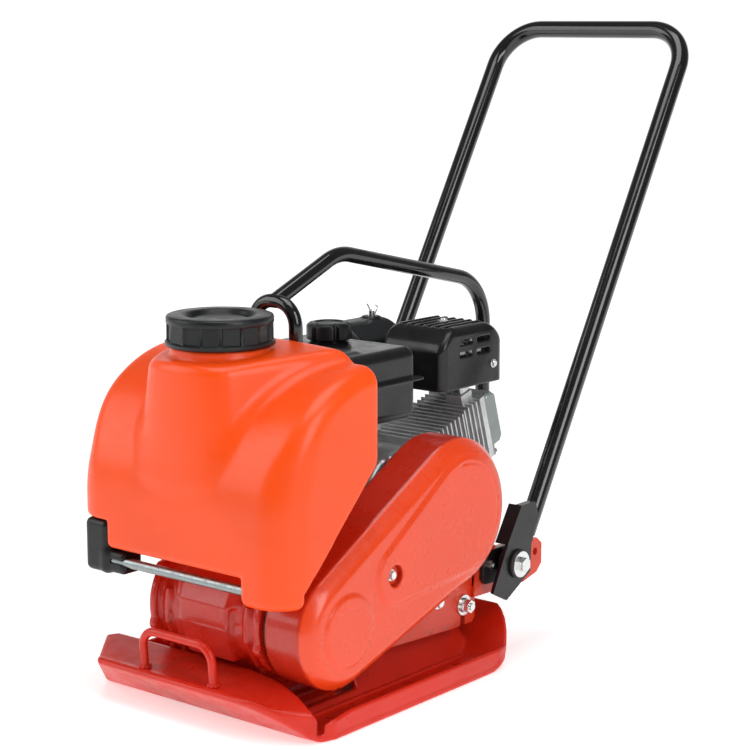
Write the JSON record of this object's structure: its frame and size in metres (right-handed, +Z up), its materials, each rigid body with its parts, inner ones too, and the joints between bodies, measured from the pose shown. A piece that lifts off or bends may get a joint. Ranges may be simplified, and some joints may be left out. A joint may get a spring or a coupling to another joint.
{
  "type": "plate compactor",
  "caption": "Forward vibrating plate compactor with a belt-driven exciter, small slant engine, water tank, lifting frame and folding tube handle.",
  "frame": {"origin": "centre of the flat contact face of the sole, at ground level", "axes": "+Z up, +Y towards the operator at the handle end, +X towards the belt cover side"},
  "size_m": [0.42, 0.9995, 0.9066],
  "materials": {
    "sole_paint": "semi-gloss red-orange paint over rough steel",
    "bright_paint": "glossy red-orange paint",
    "cast_paint": "red-orange paint on a cast surface",
    "orange_plastic": "semi-gloss moulded orange plastic",
    "black_paint": "gloss black enamel on tube",
    "black_steel": "satin black paint",
    "black_plastic": "textured black moulding",
    "black_rubber": "matt black rubber",
    "zinc": "zinc plated",
    "steel": "turned and ground steel",
    "cast_aluminium": "die cast aluminium",
    "grey_paint": "grey-green paint",
    "cast_iron": "as-cast iron",
    "filter_paper": "pleated filter paper",
    "copper_plug": "plated steel and white insulator"
  },
  "bodies": {
    "chassis": {"base_plate": "sole_paint", "front_grip": "sole_paint", "exciter_housing": "cast_paint", "exciter_covers": "cast_paint", "exciter_bearings": "steel", "exciter_bolts": "zinc", "v_belt": "black_rubber", "engine_base": "bright_paint", "shock_mounts": "black_rubber", "mount_nuts": "zinc", "outer_bolts": "zinc", "crankcase": "cast_aluminium", "cylinder_barrel": "cast_aluminium", "cylinder_head": "cast_aluminium", "rocker_cover": "grey_paint", "spark_plug": "copper_plug", "plug_cap": "black_rubber", "fan_cover": "black_steel", "recoil_cover": "black_steel", "fuel_tank": "black_steel", "carburetor": "cast_aluminium", "air_cleaner_base": "black_plastic", "air_filter": "filter_paper", "muffler": "steel", "muffler_guard": "black_steel", "engine_bolts": "zinc", "belt_cover": "orange_plastic", "belt_cover_back": "black_steel", "water_tank": "orange_plastic", "filler_neck": "orange_plastic", "corner_block": "black_plastic", "sprinkler_pipe": "zinc", "guard_frame": "black_paint", "handle_mounts": "black_steel", "mount_screws": "zinc", "pivot_bolts": "zinc", "pivot_bushes": "black_rubber"},
    "eccentric": {"eccentric_shaft": "steel", "eccentric_weights": "cast_iron", "exciter_pulley": "cast_iron", "pulley_bolt": "zinc"},
    "crank": {"crankshaft": "steel", "flywheel": "cast_iron", "clutch_hub": "cast_iron"},
    "drum": {"clutch_drum": "cast_iron"},
    "reel": {"recoil_reel": "black_plastic"},
    "starter": {"starter_grip": "black_plastic"},
    "handle": {"handle": "black_paint", "handle_brackets": "black_steel"},
    "cap_seal": {"cap_gasket": "black_rubber"},
    "cap": {"water_cap": "black_plastic"},
    "fuel_cap": {"fuel_cap": "black_plastic"},
    "air_cover": {"air_cleaner_cover": "black_plastic"},
    "wing_nut": {"wing_nut": "zinc"},
    "throttle": {"throttle_lever": "black_plastic"},
    "choke": {"choke_lever": "black_plastic"},
    "fuel_cock": {"fuel_cock_lever": "black_plastic"},
    "switch": {"engine_switch": "black_plastic"},
    "cock": {"cock_lever": "black_plastic"},
    "dipstick": {"oil_dipstick": "black_plastic"}
  },
  "joints": [
    {"name": "handle_fold", "type": "hinge", "parent": "chassis", "child": "handle", "pos_m": [0, 0.258, 0.138], "axis": [1, 0, 0], "range_deg": [0, 30]},
    {"name": "eccentric_spin", "type": "hinge", "parent": "chassis", "child": "eccentric", "pos_m": [0, -0.13, 0.132], "axis": [1, 0, 0], "continuous": true},
    {"name": "clutch_drum_spin", "type": "hinge", "parent": "chassis", "child": "drum", "pos_m": [0, 0.117, 0.238], "axis": [1, 0, 0], "continuous": true},
    {"name": "crank_spin", "type": "hinge", "parent": "chassis", "child": "crank", "pos_m": [0, 0.117, 0.238], "axis": [1, 0, 0], "continuous": true},
    {"name": "starter_pull", "type": "slide", "parent": "chassis", "child": "starter", "axis": [0, 0.9781, 0.2079], "range_m": [0, 0.6]},
    {"name": "recoil_reel_turn", "type": "hinge", "parent": "chassis", "child": "reel", "pos_m": [0, 0.117, 0.238], "axis": [1, 0, 0], "range_deg": [-720, 5]},
    {"name": "water_cap_lift", "type": "slide", "parent": "chassis", "child": "cap_seal", "axis": [0, 0, 1], "range_m": [0, 0.018]},
    {"name": "water_cap_turn", "type": "hinge", "parent": "cap_seal", "child": "cap", "pos_m": [0, -0.157, 0.515], "axis": [0, 0, 1], "range_deg": [0, 1080]},
    {"name": "fuel_cap_turn", "type": "hinge", "parent": "chassis", "child": "fuel_cap", "pos_m": [-0.04, 0.108, 0.472], "axis": [0, 0, 1], "range_deg": [0, 90]},
    {"name": "air_cover_lift", "type": "slide", "parent": "chassis", "child": "air_cover", "axis": [0, 0, 1], "range_m": [0, 0.08]},
    {"name": "wing_nut_turn", "type": "hinge", "parent": "air_cover", "child": "wing_nut", "pos_m": [-0.1, 0.276, 0.474], "axis": [0, 0, 1], "range_deg": [0, 1440]},
    {"name": "throttle_turn", "type": "hinge", "parent": "chassis", "child": "throttle", "pos_m": [-0.092, 0.224, 0.352], "axis": [0, 1, 0], "range_deg": [-55, 0]},
    {"name": "choke_turn", "type": "hinge", "parent": "chassis", "child": "choke", "pos_m": [-0.076, 0.3079, 0.322], "axis": [0, 1, 0], "range_deg": [-55, 0]},
    {"name": "fuel_cock_turn", "type": "hinge", "parent": "chassis", "child": "fuel_cock", "pos_m": [-0.058, 0.3079, 0.306], "axis": [0, 1, 0], "range_deg": [0, 70]},
    {"name": "switch_turn", "type": "hinge", "parent": "chassis", "child": "switch", "pos_m": [-0.102, 0.218, 0.3], "axis": [0, 1, 0], "range_deg": [0, 40]},
    {"name": "water_cock_turn", "type": "hinge", "parent": "chassis", "child": "cock", "pos_m": [-0.1745, -0.226, 0.226], "axis": [1, 0, 0], "range_deg": [0, 90]},
    {"name": "dipstick_turn", "type": "hinge", "parent": "chassis", "child": "dipstick", "pos_m": [0.06, 0.03, 0.172], "axis": [0, -1, 0], "range_deg": [0, 720]}
  ],
  "couplings": [
    {"joint": "clutch_drum_spin", "follows": "eccentric_spin", "ratio": 0.80583},
    {"joint": "recoil_reel_turn", "follows": "starter_pull", "rad_per_m": -20.8},
    {"joint": "water_cap_turn", "follows": "water_cap_lift", "rad_per_m": 1000}
  ]
}
